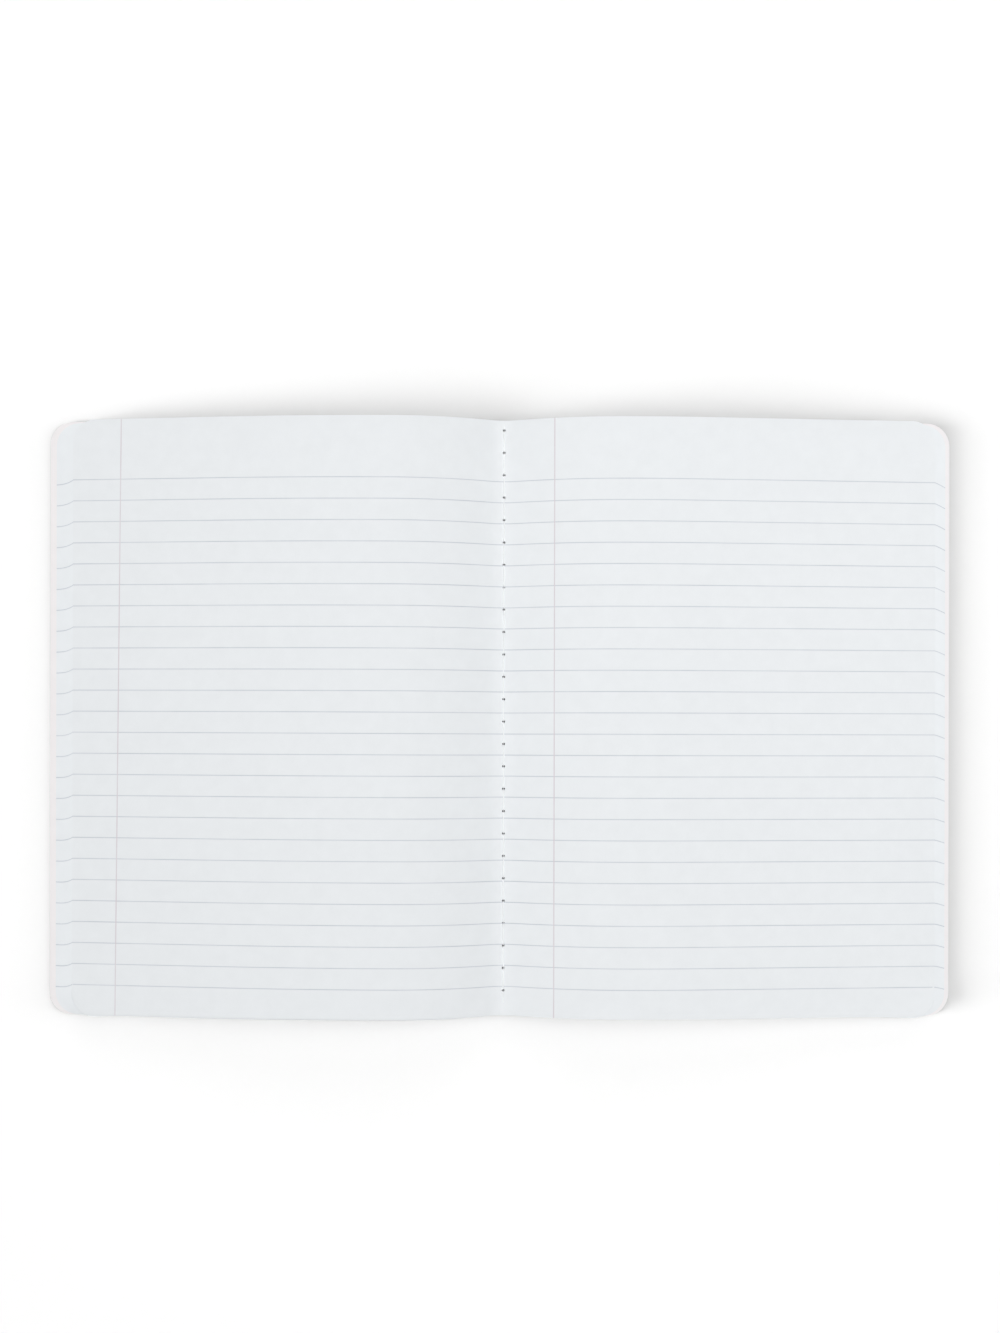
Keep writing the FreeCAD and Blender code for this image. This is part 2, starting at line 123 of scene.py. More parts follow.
# Ruling.
RULES = 25
RULE_PITCH = 8.73125 * MM
FIRST_RULE_Y = HALF_LENGTH - 25.4 * MM
RULE_WIDE = 0.38 * MM
MARGIN_WIDE = 0.42 * MM
INK_LIFT = 0.012 * MM
INK_THICK = 0.008 * MM
LEFT_RULE_SKEW = 0.0024
LEFT_MARGIN_X = -159.6 * MM
LEFT_MARGIN_SLANT = math.radians(0.51)
RIGHT_MARGIN_X = 20.8 * MM
PRINT_DROP = 1.5 * MM
LEFT_DROP_POWER = 3
RIGHT_DROP_POWER = 1.2
MARGIN_STEPS = 24

# Sewing.
HOLES = 26
HOLE_PITCH = 9.3 * MM
FIRST_HOLE_Y = HALF_LENGTH - 4.1 * MM
HOLE_RADIUS = 0.6 * MM
HOLE_SIDES = 8
SEEN_HOLE_SIDES = 16
HOLE_RIM = 0.95 * MM
FIRST_STATION = 1.5 * HOLE_RIM
THREAD_RADIUS = 0.25 * MM
THREAD_LEVEL = THREAD_HIGH.z - THREAD_RADIUS
THREAD_SEED = 11
# Loose ends, counted from the first and the last hole.
THREAD_HEAD_END = (0.0, 2.5 * MM, 0.06 * MM)
THREAD_FOOT_END = (0.2 * MM, -5 * MM, 0.05 * MM)
# The thread's way into a hole, in millimetres along the fold from its middle and down.
THREAD_DIP = (
    (0.95, 0.0),
    (0.62, -0.06),
    (0.42, -0.35),
    (0.32, -0.9),
    (0.28, -1.7),
    (0.0, -2.15),
)
# Disorder of the stitches, in millimetres, and where a stitch bows, as shares of the pitch.
HOLE_SIDEWAYS = 0.12
STITCH_BOW = 0.15
BOW_PLACES = (0.35, 0.65)
PLIES = 3
PLY_SHARE = 0.52
PLY_STEP = 0.16 * MM
PLY_TWIST = 1.3 * MM

# Colours, as linear red, green and blue.
PAPER = (0.815, 0.838, 0.856)
RULE_INK = (0.580, 0.609, 0.655)
MARGIN_INK = (0.665, 0.612, 0.65)
FAINT_INK = 0.7
COVER_INSIDE = (0.865, 0.84, 0.845)
BOARD_CORE = (0.66, 0.65, 0.645)
PLIES_STRETCH = (1.0, 1.0, 14.0)
THREAD = (0.95, 0.965, 0.97)
TAPE = (0.018, 0.018, 0.02)
MARBLE_BLACK = ((0.012, 0.012, 0.014), (0.014, 0.014, 0.016))
MARBLE_WHITE = ((0.72, 0.72, 0.71), (0.78, 0.78, 0.77))

# Stage.
TABLE_SIZE = 6.0
TABLE_LEVEL = -0.0002
TABLE_WHITE = (0.55, 0.55, 0.55)
WORLD_LIGHT = 0.16
BACKDROP_WHITE = 1.0

# Lamps. The table has its own, so that its soft shadows and its white don't change the pages.
# Suns: name, strength, azimuth, elevation and angle of the soft edge in degrees.
OBJECT_SUNS = (
    ("key", 0.461, 200, 25, 45),
    ("tail_fill", 0.136, 270, 50, 45),
    ("head_fill", 0.111, 35, 35, 45),
    ("overhead", 1.673, 90, 88, 45),
)
TABLE_SUNS = (
    ("table_key", 1.35, 203, 25, 35),
    ("table_tail_fill", 0.3, 270, 50, 45),
    ("table_fill", 0.85, 0, 30, 45),
    ("table_overhead", 1.05, 90, 88, 45),
    ("table_low_left", 5.4, 190, 16, 30),
    ("table_low_head", 0.9, 90, 22, 30),
    ("table_low_right", 2.0, 0, 16, 30),
    ("table_low_tail", 0.45, 270, 18, 30),
)
# Panels: name, watts, place and aim.
OBJECT_PANELS = (
    ("head_panel", 1.33, (0.14, 0.25, 0.80), (0.02, 0.02, 0.0)),
    ("side_panel", 0.38, (0.55, 0.05, 0.60), (0.08, 0.0, 0.0)),
)
TABLE_PANELS = (("table_panel", 1.8, (0.14, 0.25, 0.80), (0.02, 0.02, 0.0)),)
PANEL_SIZE = 0.5

# Camera, straight above.
CAMERA_HEIGHT = 0.700
CAMERA_LENS = 45.15
CAMERA_SENSOR = 36
CAMERA_X = 0.2 * MM
CAMERA_Y = -7.5 * MM
CAMERA_SHIFT_Y = 0.05275
CAMERA_ROLL = math.radians(0.12)


def smooth(t):
    t = min(max(t, 0.0), 1.0)
    return t * t * (3 - 2 * t)


def solve_hump(hump):
    """Adds the radii and the angles that make a hump's arcs run into each other."""
    shoulder_sum = (hump["reach"] ** 2 + hump["rise"] ** 2) / (2 * hump["rise"])
    hump["shoulder"] = shoulder_sum - VALLEY_RADIUS
    hump["valley_end"] = VALLEY_RADIUS * hump["reach"] / shoulder_sum
    crown_run, slope_run = hump["crown_end"] - hump["reach"], TOP_LEAF_REACH - hump["crown_end"]
    half_slope = 0.0
    for _ in range(HUMP_ROUNDS):
        half_slope = hump["rise"] / (crown_run + 2 * slope_run / (1 - half_slope**2))
    hump["fall"] = 2 * math.atan(half_slope)
    hump["crown"] = crown_run / math.sin(hump["fall"])


solve_hump(LEFT_HUMP)
solve_hump(RIGHT_HUMP)


def lift(x):
    """How far the top leaf rises at x above the height of its fore edge."""
    hump, a = (LEFT_HUMP if x < 0 else RIGHT_HUMP), abs(x)
    if a <= hump["valley_end"]:
        return VALLEY_RADIUS - math.sqrt(VALLEY_RADIUS**2 - a**2)
    if a <= hump["reach"]:
        radius = hump["shoulder"]
        return hump["rise"] - radius + math.sqrt(radius**2 - (hump["reach"] - a) ** 2)
    if a <= hump["crown_end"]:
        radius = hump["crown"]
        return hump["rise"] - radius + math.sqrt(radius**2 - (a - hump["reach"]) ** 2)
    return max(TOP_LEAF_REACH - a, 0.0) * math.tan(hump["fall"])


def spread_of_leaves(seed, top_gap):
    """Share of the rise that each leaf takes, from the lowest leaf to 1 at the top one."""
    draw = random.Random(seed)
    gaps = [GAP_LEAST + GAP_VARIES * draw.random() ** 3 for _ in range(SHEETS)]
    gaps[-1] = top_gap
    total, shares = 0.0, []
    for gap in gaps:
        total += gap
        shares.append(total)
    return [share / total for share in shares]


# Near the fold and near the fore edge, for each side.
SPREADS = {
    side: (spread_of_leaves(seed, TOP_GAPS[side]), spread_of_leaves(seed + 1, TOP_GAPS[side]))
    for side, seed in GAP_SEEDS.items()
}


def sheet_level(k, x):
    """Height of the upper side of sheet k, counted from the lowest."""
    near, far = SPREADS[-1 if x < 0 else 1]
    mix = smooth(abs(x) / TOP_LEAF_REACH)
    share = near[k] * (1 - mix) + far[k] * mix
    return BASE_LEVEL + (k + 1) * CALIPER + lift(x) * share


def leaf_reach(k, side):
    """Reach of leaf k from the fold, from the lowest and longest leaf to the top one."""
    low = LOW_LEAF_REACH[side]
    return low + (TOP_LEAF_REACH - low) * k / (SHEETS - 1)


def stations(hump, reach):
    """Distances from the fold at which a sheet is bent or its outline turns."""
    marks = []

    def run(start, end, steps):
        marks.extend(start + (end - start) * i / steps for i in range(steps))

    straight_end = reach - CORNER_RADIUS
    run(0.0, hump["valley_end"], VALLEY_STEPS)
    run(hump["valley_end"], hump["reach"], SHOULDER_STEPS)
    run(hump["reach"], hump["crown_end"], CROWN_STEPS)
    run(hump["crown_end"], straight_end, SLOPE_STEPS)
    for i in range(CORNER_STEPS + 1):
        turn = math.pi / 2 * i / CORNER_STEPS
        marks.append(straight_end + CORNER_RADIUS * math.sin(turn))
    return marks


def half_width_at(a, reach):
    """Half the sheet's length in Y at distance a from the fold, less at the round corners."""
    inside = reach - CORNER_RADIUS
    if a <= inside:
        return HALF_LENGTH
    return HALF_LENGTH - CORNER_RADIUS + math.sqrt(max(CORNER_RADIUS**2 - (a - inside) ** 2, 0.0))


def new_piece(name, mesh, body, *materials, x=0.0):
    obj = bpy.data.objects.new(name, mesh)
    obj.location.x = x
    bpy.context.scene.collection.objects.link(obj)
    for material in materials:
        obj.data.materials.append(material)
    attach(obj, body)
    return obj


def grid_shell(bm, columns, thick, open_end=None):
    """A thin sheet from columns of upper-side points. Each column has as many points.

    It is closed all round, but for the column whose number is open_end.
    """
    upper = [[bm.verts.new(p) for p in column] for column in columns]
    down = Vector((0, 0, -thick))
    lower = [[bm.verts.new(Vector(p) + down) for p in column] for column in columns]
    last_row = len(columns[0]) - 1
    for i in range(len(columns) - 1):
        for j in range(last_row):
            bm.faces.new((upper[i][j], upper[i + 1][j], upper[i + 1][j + 1], upper[i][j + 1]))
            bm.faces.new((lower[i][j], lower[i][j + 1], lower[i + 1][j + 1], lower[i + 1][j]))
        for j in (0, last_row):
            side = (lower[i][j], lower[i + 1][j], upper[i + 1][j], upper[i][j])
            bm.faces.new(side if j == 0 else side[::-1])
    for i in (0, len(columns) - 1):
        for j in range(last_row if i != open_end else 0):
            side = (lower[i][j], upper[i][j], upper[i][j + 1], lower[i][j + 1])
            bm.faces.new(side if i == 0 else side[::-1])


def finish_mesh(bm, name, soft=True):
    mesh = bpy.data.meshes.new(name)
    bm.to_mesh(mesh)
    bm.free()
    if soft:
        mesh.shade_smooth()
        mesh.set_sharp_from_angle(angle=SHARP_ANGLE)
    return mesh


# Materials.


def new_material(name, roughness, specular):
    material = bpy.data.materials.new(name)
    material.use_nodes = True
    shader = material.node_tree.nodes["Principled BSDF"]
    shader.inputs["Roughness"].default_value = roughness
    shader.inputs["Specular IOR Level"].default_value = specular
    return material, material.node_tree, shader


def add_node(tree, kind, **settings):
    node = tree.nodes.new(kind)
    for key, setting in settings.items():
        setattr(node, key, setting)
    return node


def object_position(tree):
    return add_node(tree, "ShaderNodeTexCoord").outputs["Object"]


def stretched(tree, source, scale):
    mapping = add_node(tree, "ShaderNodeMapping")
    mapping.inputs["Scale"].default_value = scale
    tree.links.new(source, mapping.inputs["Vector"])
    return mapping.outputs["Vector"]


def noise(tree, source, scale, detail=3.0, roughness=0.5, distortion=0.0):
    node = add_node(tree, "ShaderNodeTexNoise")
    node.inputs["Scale"].default_value = scale
    node.inputs["Detail"].default_value = detail
    node.inputs["Roughness"].default_value = roughness
    node.inputs["Distortion"].default_value = distortion
    tree.links.new(source, node.inputs["Vector"])
    return node.outputs["Fac"]


def ramp(tree, source, *stops):
    node = add_node(tree, "ShaderNodeValToRGB")
    elements = node.color_ramp.elements
    while len(elements) < len(stops):
        elements.new(0.5)
    for element, (place, colour) in zip(elements, stops):
        element.position = place
        element.color = (*colour, 1.0)
    tree.links.new(source, node.inputs["Fac"])
    return node.outputs["Color"]


def shade(colour, factor):
    return tuple(channel * factor for channel in colour)


def bump(tree, shader, height, strength, distance):
    node = add_node(tree, "ShaderNodeBump")
    node.inputs["Strength"].default_value = strength
    node.inputs["Distance"].default_value = distance
    tree.links.new(height, node.inputs["Height"])
    tree.links.new(node.outputs["Normal"], shader.inputs["Normal"])


def paper_material(name, colour):
    """Uncoated writing paper: a faint cloudy formation and a fine tooth."""
    material, tree, shader = new_material(name, roughness=0.82, specular=0.18)
    position = object_position(tree)
    clouds = noise(tree, position, scale=160.0, detail=5.0, roughness=0.6)
    tree.links.new(
        ramp(tree, clouds, (0.3, shade(colour, 0.985)), (0.7, shade(colour, 1.012))),
        shader.inputs["Base Color"],
    )
    tooth = noise(tree, position, scale=3500.0, roughness=0.6)
    bump(tree, shader, tooth, strength=0.12, distance=0.02 * MM)
    return material


def ink_material(name, colour):
    """Thin printed line that takes the paper's tooth, so its strength wanders a little."""
    material, tree, shader = new_material(name, roughness=0.7, specular=0.2)
    strength = noise(tree, object_position(tree), scale=45.0, detail=4.0, roughness=0.6)
    pale = tuple(
        FAINT_INK * ink + (1 - FAINT_INK) * paper for ink, paper in zip(colour, PAPER)
    )
    tree.links.new(
        ramp(tree, strength, (0.35, pale), (0.6, colour)), shader.inputs["Base Color"]
    )
    return material


def marble_material():
    """The common black and white marbled cover: broken white flecks on black."""
    material, tree, shader = new_material("marbled_cover", roughness=0.42, specular=0.45)
    position = object_position(tree)
    flecks = noise(tree, position, scale=130.0, detail=6.0, roughness=0.62, distortion=2.6)
    tree.links.new(
        ramp(
            tree,
            flecks,
            (0.0, MARBLE_BLACK[0]),
            (0.515, MARBLE_BLACK[1]),
            (0.53, MARBLE_WHITE[0]),
            (1.0, MARBLE_WHITE[1]),
        ),
        shader.inputs["Base Color"],
    )
    grain = noise(tree, position, scale=900.0, detail=2.0)
    bump(tree, shader, grain, strength=0.15, distance=0.05 * MM)
    return material


def board_edge_material():
    """Raw cut edge of the board, with its pressed plies."""
    material, tree, shader = new_material("board_edge", roughness=0.85, specular=0.2)
    plies = noise(tree, stretched(tree, object_position(tree), PLIES_STRETCH), scale=900.0)
    tree.links.new(
        ramp(tree, plies, (0.35, shade(BOARD_CORE, 0.85)), (0.65, shade(BOARD_CORE, 1.15))),
        shader.inputs["Base Color"],
    )
    return material


def cloth_material(name, colour, thread_gap):
    """Woven book cloth: warp and weft ribs at right angles."""
    material, tree, shader = new_material(name, roughness=0.75, specular=0.25)
    position = object_position(tree)
    ribs = []
    for direction in ("X", "Y"):
        wave = add_node(tree, "ShaderNodeTexWave", wave_type="BANDS", bands_direction=direction)
        wave.inputs["Scale"].default_value = 1 / (thread_gap * WAVE_BANDS)
        wave.inputs["Distortion"].default_value = 0.6
        wave.inputs["Detail Scale"].default_value = 2.0
        tree.links.new(position, wave.inputs["Vector"])
        ribs.append(wave.outputs["Fac"])
    weave = add_node(tree, "ShaderNodeMath", operation="MULTIPLY")
    tree.links.new(ribs[0], weave.inputs[0])
    tree.links.new(ribs[1], weave.inputs[1])
    tree.links.new(
        ramp(
            tree, weave.outputs["Value"], (0.0, shade(colour, 0.6)), (0.7, shade(colour, 2.2))
        ),
        shader.inputs["Base Color"],
    )
    bump(tree, shader, weave.outputs["Value"], strength=0.6, distance=0.08 * MM)
    shader.inputs["Sheen Weight"].default_value = 0.25
    return material


def thread_material():
    """White cotton with a fine fibre."""
    material, tree, shader = new_material("cotton_thread", roughness=0.8, specular=0.2)
    fibres = noise(tree, object_position(tree), scale=4000.0)
    tree.links.new(
        ramp(tree, fibres, (0.3, shade(THREAD, 0.93)), (0.7, shade(THREAD, 1.04))),
        shader.inputs["Base Color"],
    )
    shader.inputs["Sheen Weight"].default_value = 0.3
    return material


# Pieces.


def sheet_columns(k, side):
    """Upper-side points of one half of sheet k, from the rim of the holes to the fore edge."""
    reach = leaf_reach(k, side)
    hump = LEFT_HUMP if side < 0 else RIGHT_HUMP
    marks = [HOLE_RIM] + [a for a in stations(hump, reach) if a > FIRST_STATION]
    columns = []
    for a in marks:
        half, z = half_width_at(a, reach), sheet_level(k, side * a)
        points = []
        for share in SHEET_ROWS:
            y = share * half + (TAIL_TRIM if share < 0 else 0.0) - slip(k, side, a)
            points.append(Vector((side * a, y, z + curl(k, side, a, y))))
        columns.append(points)
    return columns


def slip(k, side, a):
    """How far the leaves have slipped towards the tail from under the top one.

    It shows under the left hump and at both tail corners.
    """
    if k == SHEETS - 1:
        return 0.0
    corner = smooth((a - TOP_LEAF_REACH + SLIP_CORNER_START) / SLIP_CORNER_RUN)
    if side > 0:
        return TAIL_SLIP * corner
    hump = smooth((a - HOLE_RIM) / SLIP_INNER_RUN)
    hump *= smooth((TOP_LEAF_REACH - a) / SLIP_OUTER_RUN)
    return TAIL_SLIP * max(hump, corner)


def curl(k, side, a, y):
    """Lift of the top leaves at the tail corner, where a hand has turned them."""
    high = CORNER_CURL[side] * smooth((k - SHEETS + 1 + CURLED_LEAVES) / CURLED_LEAVES)
    outward = (a - TOP_LEAF_REACH) + (-y - HALF_LENGTH) + 2 * CORNER_RADIUS + TAIL_TRIM
    return high * smooth((outward - CURL_START) / CURL_RUN)


def fold_strip(bm, k):
    """The narrow strip of sheet k on the fold, with its round needle holes."""
    level_at = {x: sheet_level(k, x) for x in (-HOLE_RIM, 0.0, HOLE_RIM)}

    def point(x, y, drop):
        rim = level_at[HOLE_RIM if x > 0 else -HOLE_RIM]
        share = min(abs(x) / HOLE_RIM, 1.0)
        return bm.verts.new((x, y, level_at[0.0] * (1 - share) + rim * share - drop))

    middles = [FIRST_HOLE_Y - i * HOLE_PITCH for i in range(HOLES)]
    tops = [HALF_LENGTH] + [middle - HOLE_RIM for middle in middles]
    feet = [middle + HOLE_RIM for middle in middles] + [TAIL_TRIM - HALF_LENGTH]
    for head, foot in zip(tops, feet):
        for left, right in ((-HOLE_RIM, 0.0), (0.0, HOLE_RIM)):
            ring = ((left, foot), (right, foot), (right, head), (left, head))
            upper = [point(x, y, 0.0) for x, y in ring]
            lower = [point(x, y, SHEET_THICK) for x, y in ring]
            bm.faces.new(upper)
            bm.faces.new(lower[::-1])
            if head == HALF_LENGTH:
                bm.faces.new((upper[3], upper[2], lower[2], lower[3]))
            if foot == feet[-1]:
                bm.faces.new((upper[1], upper[0], lower[0], lower[1]))
    sides = SEEN_HOLE_SIDES if k == SHEETS - 1 else HOLE_SIDES
    turns = [2 * math.pi * n / sides for n in range(sides)]
    round_rim = [(HOLE_RADIUS * math.cos(turn), HOLE_RADIUS * math.sin(turn)) for turn in turns]
    square_rim = []
    for x, y in round_rim:
        grow = HOLE_RIM / max(abs(x), abs(y))
        square_rim.append((x * grow, y * grow))
    for middle in middles:
        rings = {}
        for drop in (0.0, SHEET_THICK):
            inner = [point(x, middle + y, drop) for x, y in round_rim]
            outer = [point(x, middle + y, drop) for x, y in square_rim]
            rings[drop] = inner
            for n in range(sides):
                m = (n + 1) % sides
                face = (inner[n], outer[n], outer[m], inner[m])
                bm.faces.new(face if drop == 0.0 else face[::-1])
        upper, lower = rings[0.0], rings[SHEET_THICK]
        for n in range(sides):
            m = (n + 1) % sides
            bm.faces.new((upper[n], upper[m], lower[m], lower[n]))


def make_leaves(paper):
    """Fifty nested folded sheets with open gaps over the humps, pierced along the fold."""
    bm = bmesh.new()
    for k in range(SHEETS):
        left, right = sheet_columns(k, -1)[::-1], sheet_columns(k, 1)
        grid_shell(bm, left, SHEET_THICK, open_end=len(left) - 1)
        grid_shell(bm, right, SHEET_THICK, open_end=0)
        fold_strip(bm, k)
    leaves = new_piece("leaves", finish_mesh(bm, "leaves"), "block", paper, x=FOLD_X)
    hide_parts("pages")


def top_stations():
    left = [-a for a in reversed(stations(LEFT_HUMP, TOP_LEAF_REACH))]
    return left + stations(RIGHT_HUMP, TOP_LEAF_REACH)[1:]


def top_level(x):
    """Height of the top sheet's facets at x, so that print lies on them."""
    marks = top_stations()
    i = min(max(bisect.bisect_right(marks, x), 1), len(marks) - 1)
    low, high = marks[i - 1], marks[i]
    share = (x - low) / (high - low)
    return sheet_level(SHEETS - 1, low) * (1 - share) + sheet_level(SHEETS - 1, high) * share


def print_drop(k, side):
    """How far lower than the top leaf's the ruling of leaf k is printed."""
    depth = 1 - k / (SHEETS - 1)
    if side < 0:
        return PRINT_DROP * (1 - (1 - depth) ** LEFT_DROP_POWER)
    return PRINT_DROP * depth**RIGHT_DROP_POWER


def rule_y(i, x):
    skew = LEFT_RULE_SKEW * -x if x < 0 else 0.0
    return FIRST_RULE_Y - i * RULE_PITCH + skew


def make_rules(ink):
    """Ruling of the open spread, and its ends on the fanned edges of the leaves below."""
    bm = bmesh.new()
    half = RULE_WIDE / 2
    for i in range(RULES):
        columns = []
        for x in top_stations():
            z = sheet_level(SHEETS - 1, x) + INK_LIFT + INK_THICK
            y = rule_y(i, x)
            columns.append([Vector((x, y - half, z)), Vector((x, y + half, z))])
        grid_shell(bm, columns, INK_THICK)
        for k in range(SHEETS - 1):
            for side in (-1, 1):
                inner, outer = sorted((side * leaf_reach(k + 1, side), side * leaf_reach(k, side)))
                z = sheet_level(k, outer) + INK_LIFT + INK_THICK
                y = rule_y(i, side * TOP_LEAF_REACH) - print_drop(k, side)
                grid_shell(
                    bm,
                    [[Vector((x, y - half, z)), Vector((x, y + half, z))] for x in (inner, outer)],
                    INK_THICK,
                )
    mesh = finish_mesh(bm, "printed_rules", soft=False)
    rules = new_piece("printed_rules", mesh, "block", ink, x=FOLD_X)
    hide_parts("ruled_lines")


def make_margins(ink):
    """One margin line a page, on the top sheet."""
    bm = bmesh.new()
    half = MARGIN_WIDE / 2
    for x, slant in ((LEFT_MARGIN_X, LEFT_MARGIN_SLANT), (RIGHT_MARGIN_X, 0.0)):
        columns = []
        for j in range(MARGIN_STEPS + 1):
            y = HALF_LENGTH - (2 * HALF_LENGTH - TAIL_TRIM) * j / MARGIN_STEPS
            middle = x + y * math.tan(slant)
            columns.append(
                [
                    Vector((edge, y, top_level(edge) + 2 * INK_LIFT + INK_THICK))
                    for edge in (middle - half, middle + half)
                ]
            )
        grid_shell(bm, columns, INK_THICK)
    mesh = finish_mesh(bm, "printed_margins")
    margins = new_piece("printed_margins", mesh, "block", ink, x=FOLD_X)
    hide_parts("margin_lines")


def thread_route():
    """The inner thread's middle line: along the fold and down into every needle hole."""
    rise = [(-along, down) for along, down in reversed(THREAD_DIP[:-1])]
    end_x, end_y, end_z = THREAD_HEAD_END
    route = [Vector((end_x, FIRST_HOLE_Y + end_y, end_z))]
    draw = random.Random(THREAD_SEED)
    for i in range(HOLES):
        y = FIRST_HOLE_Y - i * HOLE_PITCH
        side = draw.uniform(-HOLE_SIDEWAYS, HOLE_SIDEWAYS)
        for along, down in (*THREAD_DIP, *rise):
            route.append(Vector((side * MM * (1 + down / 2), y + along * MM, down * MM)))
        if i < HOLES - 1:
            bow = draw.uniform(-STITCH_BOW, STITCH_BOW) * MM
            for place in BOW_PLACES:
                route.append(Vector((bow, y - HOLE_PITCH * place, 0)))
    last_hole_y = FIRST_HOLE_Y - (HOLES - 1) * HOLE_PITCH
    end_x, end_y, end_z = THREAD_FOOT_END
    route.append(Vector((end_x, last_hole_y + end_y, end_z)))
    return [point + Vector((0, 0, THREAD_LEVEL)) for point in route]


def resample(points, step):
    """Points a step apart along a Catmull-Rom curve through the route."""
    fine = []
    padded = [points[0], *points, points[-1]]
    for a, b, c, d in zip(padded, padded[1:], padded[2:], padded[3:]):
        count = max(2, round((c - b).length / step))
        for n in range(count):
            t = n / count
            fine.append(
                0.5
                * (
                    2 * b
                    + (c - a) * t
                    + (2 * a - 5 * b + 4 * c - d) * t * t
                    + (3 * b - a - 3 * c + d) * t * t * t
                )
            )
    fine.append(points[-1])
    return fine


def make_inner_thread(material):
    """Three plies twisted round each other."""
    ply_radius = THREAD_RADIUS * PLY_SHARE
    orbit = THREAD_RADIUS - ply_radius
    route = resample(thread_route(), PLY_STEP)
    curve = bpy.data.curves.new("sewing_thread", "CURVE")
    curve.dimensions = "3D"
    curve.bevel_depth = ply_radius
    curve.bevel_resolution = 1
    curve.use_fill_caps = True
    sideways = Vector((1, 0, 0))
    for ply in range(PLIES):
        spline = curve.splines.new("POLY")
        spline.points.add(len(route) - 1)
        travelled = 0.0
        for n, point in enumerate(route):
            ahead, behind = route[min(n + 1, len(route) - 1)], route[max(n - 1, 0)]
            along = (ahead - behind).normalized()
            across = along.cross(sideways).normalized()
            if n:
                travelled += (point - route[n - 1]).length
            turn = 2 * math.pi * (travelled / PLY_TWIST + ply / PLIES)
            place = point + orbit * (math.cos(turn) * sideways + math.sin(turn) * across)
            spline.points[n].co = (*place, 1.0)
    thread = new_piece("sewing_thread", curve, "block", material, x=FOLD_X)
    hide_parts("inner_thread")


def make_board(name, node, body, side, materials):
    """A stiff cover with softened edges: plain inside, marbled outside."""
    inner, outer = BOARD_LOW.x, BOARD_HIGH.x + BOARD_WEAR
    half = BOARD_HIGH.y
    outline = [Vector((inner, half)), Vector((inner, -half))]
    for corner_y, start in ((-half + CORNER_RADIUS, -math.pi / 2), (half - CORNER_RADIUS, 0.0)):
        for i in range(BOARD_CORNER_STEPS + 1):
            turn = start + math.pi / 2 * i / BOARD_CORNER_STEPS
            x = outer - CORNER_RADIUS + CORNER_RADIUS * math.cos(turn)
            outline.append(Vector((x, corner_y + CORNER_RADIUS * math.sin(turn))))
    bm = bmesh.new()
    rings = []
    for z in (BOARD_LOW.z, BOARD_HIGH.z):
        rings.append([bm.verts.new((side * p.x, side * p.y, z)) for p in outline])
    low, high = rings
    bottom = bm.faces.new(low[::-1])
    top = bm.faces.new(high)
    edges = []
    for i in range(len(outline)):
        j = (i + 1) % len(outline)
        edges.append(bm.faces.new((low[i], low[j], high[j], high[i])))
    top.material_index, bottom.material_index = 0, 1
    for face in edges:
        face.material_index = 2
    rim = [e for e in bm.edges if e.is_manifold and e.calc_face_angle(0) >= BOARD_RIM_ANGLE]
    bmesh.ops.bevel(
        bm,
        geom=rim,
        offset=BOARD_SOFT_EDGE,
        segments=2,
        profile=0.5,
        affect="EDGES",
        material=-1,
    )
    board = new_piece(name, finish_mesh(bm, name), body, *materials)
    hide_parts(node)


def make_tape(name, side, material):
    """Half of the spine tape, from the middle of the spine to its edge on one board."""
    bm = bmesh.new()
    edge = TAPE_HIGH.x
    marks = [i * TAPE_BEND_STEP for i in range(TAPE_BEND_MARKS)]
    flat = (edge - marks[-1]) / TAPE_FLAT_STEPS
    marks += [marks[-1] + flat * (i + 1) for i in range(TAPE_FLAT_STEPS)]
    columns = []
    for x in sorted(side * mark for mark in marks):
        z = TAPE_HIGH.z - (TAPE_SOFT_EDGE if abs(x) > edge - TAPE_EDGE_WIDE else 0.0)
        ys = (HALF_LENGTH * (2 * j / TAPE_ROWS - 1) for j in range(TAPE_ROWS + 1))
        columns.append([Vector((x, y, z)) for y in ys])
    grid_shell(bm, columns, TAPE_HIGH.z - TAPE_LOW.z)
    for vertex in bm.verts:
        vertex.co.z = max(vertex.co.z, TAPE_LOW.z)
    tape = bpy.data.objects.new(name, finish_mesh(bm, name))
    tape.data.materials.append(material)
    bpy.context.scene.collection.objects.link(tape)
    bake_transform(tape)
    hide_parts("spine_tape")


# Stage, light and camera.


def seen_or_mirrored(tree):
    """1 for what the camera sees straight, in a gloss or through glass, and 0 for other light."""
    path = add_node(tree, "ShaderNodeLightPath")
    either = path.outputs["Is Camera Ray"]
    for ray in ("Is Glossy Ray", "Is Transmission Ray"):
        larger = add_node(tree, "ShaderNodeMath", operation="MAXIMUM")
        tree.links.new(either, larger.inputs[0])
        tree.links.new(path.outputs[ray], larger.inputs[1])
        either = larger.outputs["Value"]
    return either


def make_table():
    """White table that the notebook lies on, which isn't part of it."""
    bm = bmesh.new()
    bmesh.ops.create_grid(bm, x_segments=1, y_segments=1, size=TABLE_SIZE / 2)
    table = bpy.data.objects.new("table", finish_mesh(bm, "table", soft=False))
    table.location.z = TABLE_LEVEL
    bpy.context.scene.collection.objects.link(table)
    material, _, shader = new_material("white_table", roughness=0.9, specular=0.0)
    shader.inputs["Base Color"].default_value = (*TABLE_WHITE, 1)
    table.data.materials.append(material)
    return table


def share_out(lamp, table, state):
    """Lets a lamp light the table alone (INCLUDE), or everything but the table (EXCLUDE)."""
    group = bpy.data.collections.new(lamp.name + "_group")
    group.objects.link(table)
    group.collection_objects[0].light_linking.link_state = state
    lamp.light_linking.receiver_collection = group


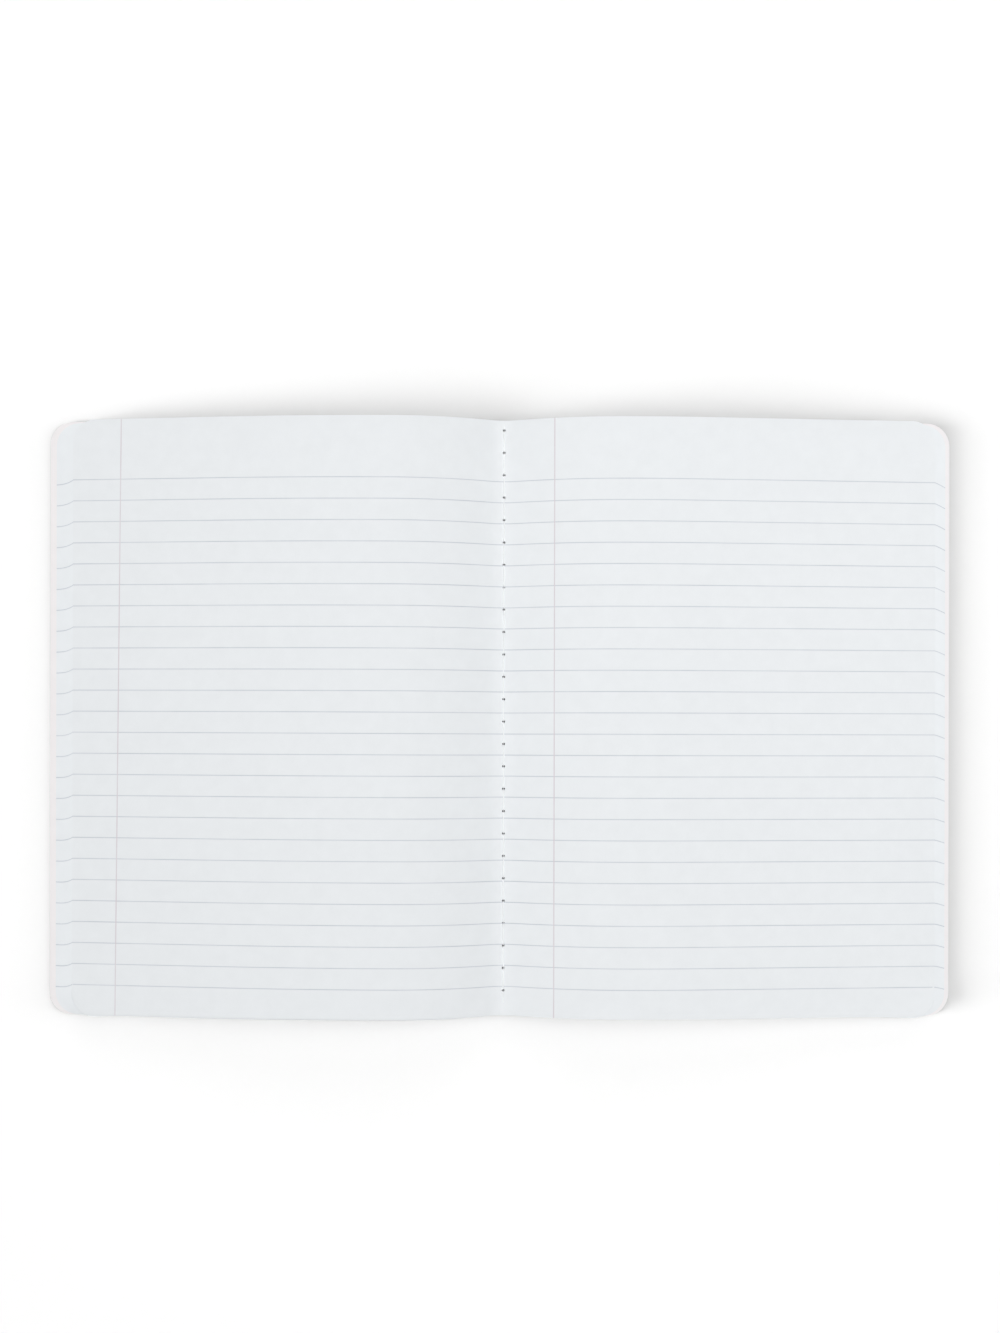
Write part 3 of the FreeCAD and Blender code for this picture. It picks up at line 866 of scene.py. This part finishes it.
def make_sun(table, state, name, strength, azimuth, elevation, softness):
    """Azimuth is where the light comes from: 0 is the right side, 90 the head of the pages."""
    light = bpy.data.lights.new(name, "SUN")
    light.energy = strength
    light.angle = math.radians(softness)
    obj = bpy.data.objects.new(name, light)
    a, e = math.radians(azimuth), math.radians(elevation)
    towards = Vector((math.cos(a) * math.cos(e), math.sin(a) * math.cos(e), math.sin(e)))
    obj.rotation_euler = towards.to_track_quat("Z", "Y").to_euler()
    bpy.context.scene.collection.objects.link(obj)
    share_out(obj, table, state)


def make_panel(table, state, name, strength, place, aim):
    """Soft box near the object, so that its light falls off over the pages."""
    light = bpy.data.lights.new(name, "AREA")
    light.shape = "SQUARE"
    light.size = PANEL_SIZE
    light.energy = strength
    obj = bpy.data.objects.new(name, light)
    obj.location = place
    obj.rotation_euler = (Vector(place) - Vector(aim)).to_track_quat("Z", "Y").to_euler()
    bpy.context.scene.collection.objects.link(obj)
    share_out(obj, table, state)


def make_light(table):
    """Soft boxes as wide suns, and a white backdrop that gives the object no light of its own."""
    world = bpy.data.worlds.new("studio")
    world.use_nodes = True
    tree = world.node_tree
    soft_light = tree.nodes["Background"]
    soft_light.inputs["Strength"].default_value = WORLD_LIGHT
    backdrop = add_node(tree, "ShaderNodeBackground")
    backdrop.inputs["Strength"].default_value = BACKDROP_WHITE
    for background in (soft_light, backdrop):
        background.inputs["Color"].default_value = (1, 1, 1, 1)
    switch = add_node(tree, "ShaderNodeMixShader")
    tree.links.new(seen_or_mirrored(tree), switch.inputs["Fac"])
    tree.links.new(soft_light.outputs[0], switch.inputs[1])
    tree.links.new(backdrop.outputs[0], switch.inputs[2])
    tree.links.new(switch.outputs[0], tree.nodes["World Output"].inputs["Surface"])
    bpy.context.scene.world = world
    for state, suns in (("EXCLUDE", OBJECT_SUNS), ("INCLUDE", TABLE_SUNS)):
        for sun in suns:
            make_sun(table, state, *sun)
    for state, panels in (("EXCLUDE", OBJECT_PANELS), ("INCLUDE", TABLE_PANELS)):
        for panel in panels:
            make_panel(table, state, *panel)


def make_camera():
    data = bpy.data.cameras.new("camera")
    data.lens = CAMERA_LENS
    data.sensor_width = CAMERA_SENSOR
    data.shift_y = CAMERA_SHIFT_Y
    camera = bpy.data.objects.new("camera", data)
    camera.location = (CAMERA_X, CAMERA_Y, CAMERA_HEIGHT)
    camera.rotation_euler = (0, 0, CAMERA_ROLL)
    bpy.context.scene.collection.objects.link(camera)
    bpy.context.scene.camera = camera


def main():
    bpy.context.scene.view_settings.view_transform = "Standard"
    make_camera()
    make_light(make_table())
    paper = paper_material("writing_paper", PAPER)
    make_leaves(paper)
    make_rules(ink_material("rule_ink", RULE_INK))
    make_margins(ink_material("margin_ink", MARGIN_INK))
    cotton = thread_material()
    make_inner_thread(cotton)
    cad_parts["outer_thread"].data.materials.clear()
    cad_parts["outer_thread"].data.materials.append(cotton)
    board_sides = (
        paper_material("cover_lining", COVER_INSIDE),
        marble_material(),
        board_edge_material(),
    )
    make_board("front_cover_board", "front_cover", "front_cover", -1, board_sides)
    make_board("back_cover_board", "back_cover", "back_cover", 1, board_sides)
    cloth = cloth_material("book_cloth", TAPE, TAPE_THREAD_GAP)
    make_tape("tape_left", -1, cloth)
    make_tape("tape_right", 1, cloth)


main()
